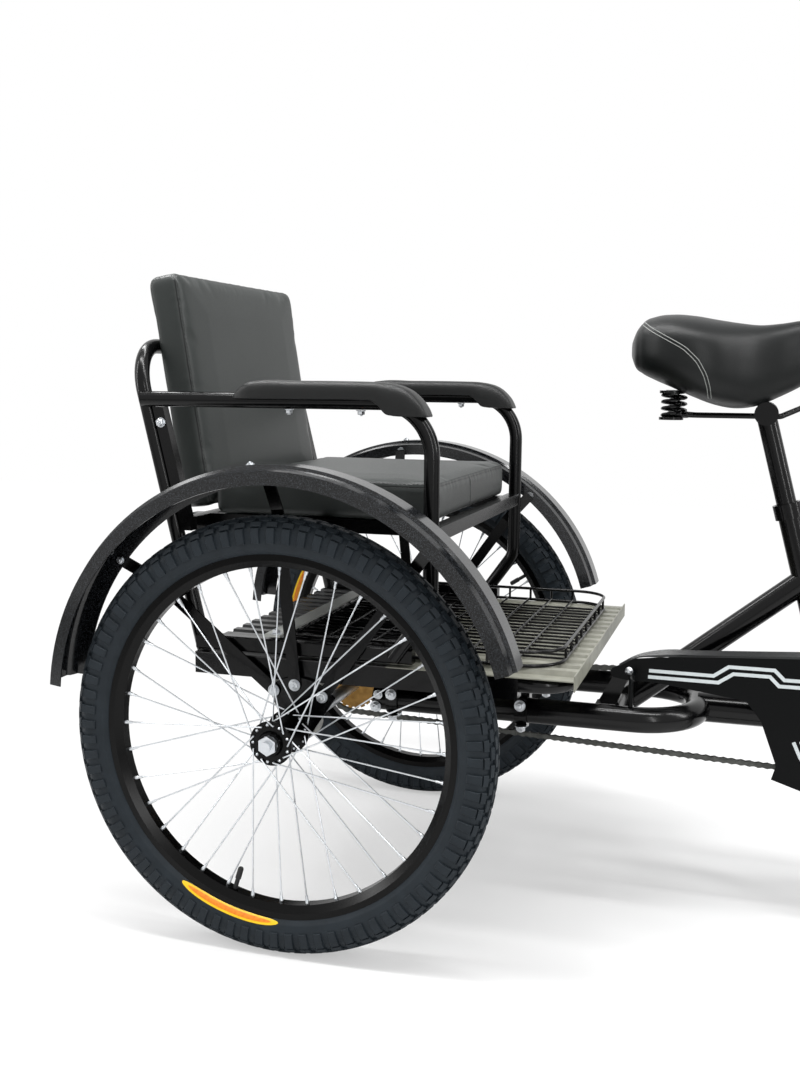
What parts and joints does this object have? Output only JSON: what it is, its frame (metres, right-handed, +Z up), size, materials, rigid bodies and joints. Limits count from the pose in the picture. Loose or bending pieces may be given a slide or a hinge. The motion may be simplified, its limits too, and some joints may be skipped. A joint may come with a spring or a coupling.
{
  "type": "passenger tricycle with a sofa seat",
  "caption": "Pedal tricycle with a padded two-armed passenger sofa, wire foot basket and fenders over its rear axle, and a sprung saddle ahead.",
  "frame": {"origin": "centre of the outline at floor level", "axes": "+X forward, +Y to the rider's left, +Z up"},
  "size_m": [1.9872, 0.8126, 1.0903],
  "materials": {
    "frame_paint": "gloss black",
    "fender_paint": "gloss black with metal flake",
    "rim_paint": "gloss black",
    "zinc": "zinc plated",
    "cast_grey": "grey casting",
    "floor_steel": "grey-beige satin",
    "wire_coating": "gloss black",
    "guard_plastic": "gloss black",
    "chain_steel": "oiled steel",
    "crank_steel": "black",
    "saddle_cover": "matt synthetic leather",
    "spring_steel": "black",
    "cushion_cover": "dark synthetic leather",
    "armrest_foam": "moulded foam",
    "grip_rubber": "matt",
    "lever_alloy": "black",
    "pedal_plastic": "matt black",
    "tyre_rubber": "matt rubber"
  },
  "bodies": {
    "frame": {"main_frame": "frame_paint", "rear_frame": "frame_paint", "bearing_cups": "zinc", "axle_bearings": "cast_grey", "wheel_carriers": "frame_paint", "fender_stays": "frame_paint", "right_fender": "fender_paint", "left_fender": "fender_paint", "platform_frame": "frame_paint", "frame_clamps": "zinc", "floor_plate": "floor_steel", "basket": "wire_coating", "sofa_hoop": "frame_paint", "armrest_frames": "frame_paint", "seat_frame": "frame_paint", "left_armrest_pad": "armrest_foam", "right_armrest_pad": "armrest_foam", "seat_cushion": "cushion_cover", "back_cushion": "cushion_cover", "seat_post": "frame_paint", "seat_clamp": "frame_paint", "saddle": "saddle_cover", "saddle_frame": "spring_steel", "chain_guard": "guard_plastic", "chain": "chain_steel", "rear_sprocket": "chain_steel"},
    "right_rear_wheel": {"rear_right_tyre": "tyre_rubber", "rear_right_wheel": "rim_paint", "rear_right_spokes": "zinc", "rear_axle": "zinc"},
    "left_rear_wheel": {"rear_left_tyre": "tyre_rubber", "rear_left_wheel": "rim_paint", "rear_left_spokes": "zinc"},
    "steering": {"fork": "frame_paint", "front_axle": "zinc", "front_fender": "fender_paint", "stem": "frame_paint", "handlebar": "frame_paint", "grips": "grip_rubber", "brake_levers": "lever_alloy"},
    "front_road_wheel": {"front_tyre": "tyre_rubber", "front_wheel": "rim_paint", "front_spokes": "zinc"},
    "cranks": {"crankset": "crank_steel", "chainring": "chain_steel"},
    "right_pedal_body": {"right_pedal": "pedal_plastic"},
    "left_pedal_body": {"left_pedal": "pedal_plastic"}
  },
  "joints": [
    {"name": "right_rear_wheel_spin", "type": "hinge", "parent": "frame", "child": "right_rear_wheel", "pos_m": [-0.64597, -0.354, 0.31], "axis": [0, 1, 0], "continuous": true},
    {"name": "left_rear_wheel_spin", "type": "hinge", "parent": "frame", "child": "left_rear_wheel", "pos_m": [-0.64597, 0.354, 0.31], "axis": [0, 1, 0], "continuous": true},
    {"name": "steering_turn", "type": "hinge", "parent": "frame", "child": "steering", "pos_m": [0.63987, 0, 0.29392], "axis": [-0.342, 0, 0.9397], "range_deg": [-60, 60]},
    {"name": "front_wheel_spin", "type": "hinge", "parent": "steering", "child": "front_road_wheel", "pos_m": [0.68403, 0, 0.31], "axis": [0, 1, 0], "continuous": true},
    {"name": "crank_spin", "type": "hinge", "parent": "frame", "child": "cranks", "pos_m": [0.09644, 0, 0.31], "axis": [0, 1, 0], "continuous": true},
    {"name": "right_pedal_spin", "type": "hinge", "parent": "cranks", "child": "right_pedal_body", "pos_m": [0.26644, -0.14, 0.31], "axis": [0, 1, 0], "continuous": true},
    {"name": "left_pedal_spin", "type": "hinge", "parent": "cranks", "child": "left_pedal_body", "pos_m": [-0.07356, 0.14, 0.31], "axis": [0, 1, 0], "continuous": true}
  ]
}
